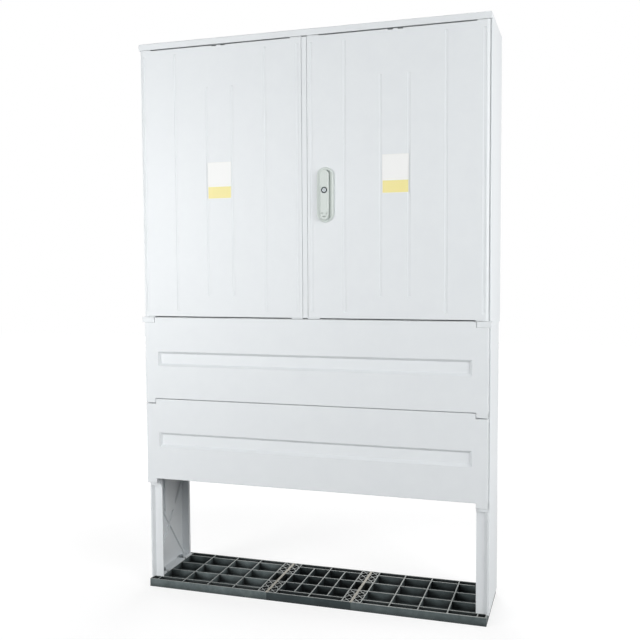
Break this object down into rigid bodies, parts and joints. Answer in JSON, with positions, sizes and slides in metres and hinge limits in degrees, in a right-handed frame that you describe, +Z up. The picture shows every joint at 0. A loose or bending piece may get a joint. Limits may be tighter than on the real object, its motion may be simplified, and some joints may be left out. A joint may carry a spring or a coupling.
{
  "type": "cable distribution cabinet",
  "caption": "Free-standing double-door electrical enclosure on a tall plinth with removable covers, an open cable way and a base grating, closed by a swing-lever rod lock.",
  "frame": {"origin": "on the ground, at the middle of the bounding box's footprint", "axes": "+Z up, +X to the right seen from the front, doors face -Y"},
  "size_m": [1.125, 0.3164, 1.7766],
  "materials": {
    "shell": "moulded glass-fibre polyester",
    "handle": "fine-grained moulded nylon",
    "lock": "plated brass, satin",
    "steel": "zinc plated",
    "zinc": "galvanised sheet",
    "guide": "moulded nylon",
    "label": "printed film, left blank",
    "grate": "moulded recycled plastic"
  },
  "bodies": {
    "frame": {"roof": "shell", "left_side_wall": "shell", "right_side_wall": "shell", "back_wall": "shell", "back_wall_screws": "steel", "floor_frame": "shell", "mounting_plate": "zinc", "plate_spacers": "guide", "plate_screws": "steel", "plinth_right_wall": "shell", "plinth_left_wall": "shell", "upper_front_cover": "shell", "lower_front_cover": "shell", "front_cover_screws": "steel", "upper_rear_cover": "shell", "lower_rear_cover": "shell", "rear_cover_screws": "steel", "cable_rail": "zinc", "rail_bolts": "steel", "rail_nuts": "steel", "base_grate_left": "grate", "base_grate_middle": "grate", "base_grate_right": "grate", "frame_bolts": "steel", "frame_nuts": "steel", "base_bolts": "steel", "roof_screws": "steel"},
    "left_door": {"left_door_panel": "shell", "closing_strip": "shell", "left_hinge_pins": "steel", "left_bolt_guides": "guide", "left_door_label": "label"},
    "right_door": {"right_door_panel": "shell", "right_hinge_pins": "steel", "handle_escutcheon": "handle", "handle_screws": "steel", "lock_case": "steel", "rod_guides": "guide", "right_door_label": "label"},
    "handle_hub": {"lever_hub": "handle", "lock_spindle": "steel", "lever_pin": "steel", "pinion": "steel"},
    "handle_lever": {"lever": "handle", "lock_cylinder": "lock"},
    "key_plug": {"lock_plug": "lock"},
    "top_rod": {"upper_rod": "steel"},
    "bottom_rod": {"lower_rod": "steel"},
    "left_top_bolt": {"left_upper_bolt": "steel"},
    "left_bottom_bolt": {"left_lower_bolt": "steel"}
  },
  "joints": [
    {"name": "left_door_hinge", "type": "hinge", "parent": "frame", "child": "left_door", "pos_m": [-0.5435, -0.1328, 1.3286], "axis": [0, 0, -1], "range_deg": [0, 120]},
    {"name": "right_door_hinge", "type": "hinge", "parent": "frame", "child": "right_door", "pos_m": [0.5435, -0.1328, 1.3286], "axis": [0, 0, 1], "range_deg": [0, 120]},
    {"name": "lever_turn", "type": "hinge", "parent": "right_door", "child": "handle_hub", "pos_m": [0.0665, -0.1418, 1.2151], "axis": [0, 1, 0], "range_deg": [0, 90]},
    {"name": "lever_pull", "type": "hinge", "parent": "handle_hub", "child": "handle_lever", "pos_m": [0.0665, -0.1539, 1.2151], "axis": [1, 0, 0], "range_deg": [0, 40]},
    {"name": "key_turn", "type": "hinge", "parent": "handle_lever", "child": "key_plug", "pos_m": [0.0665, -0.1572, 1.2916], "axis": [0, 1, 0], "range_deg": [0, 90]},
    {"name": "top_rod_slide", "type": "slide", "parent": "right_door", "child": "top_rod", "axis": [0, 0, 1], "range_m": [0, 0.0191]},
    {"name": "bottom_rod_slide", "type": "slide", "parent": "right_door", "child": "bottom_rod", "axis": [0, 0, -1], "range_m": [0, 0.0191]},
    {"name": "left_top_bolt_slide", "type": "slide", "parent": "left_door", "child": "left_top_bolt", "axis": [0, 0, 1], "range_m": [0, 0.018]},
    {"name": "left_bottom_bolt_slide", "type": "slide", "parent": "left_door", "child": "left_bottom_bolt", "axis": [0, 0, -1], "range_m": [0, 0.018]}
  ],
  "couplings": [
    {"joint": "top_rod_slide", "follows": "lever_turn", "m_per_rad": 0.012},
    {"joint": "bottom_rod_slide", "follows": "lever_turn", "m_per_rad": 0.012}
  ]
}
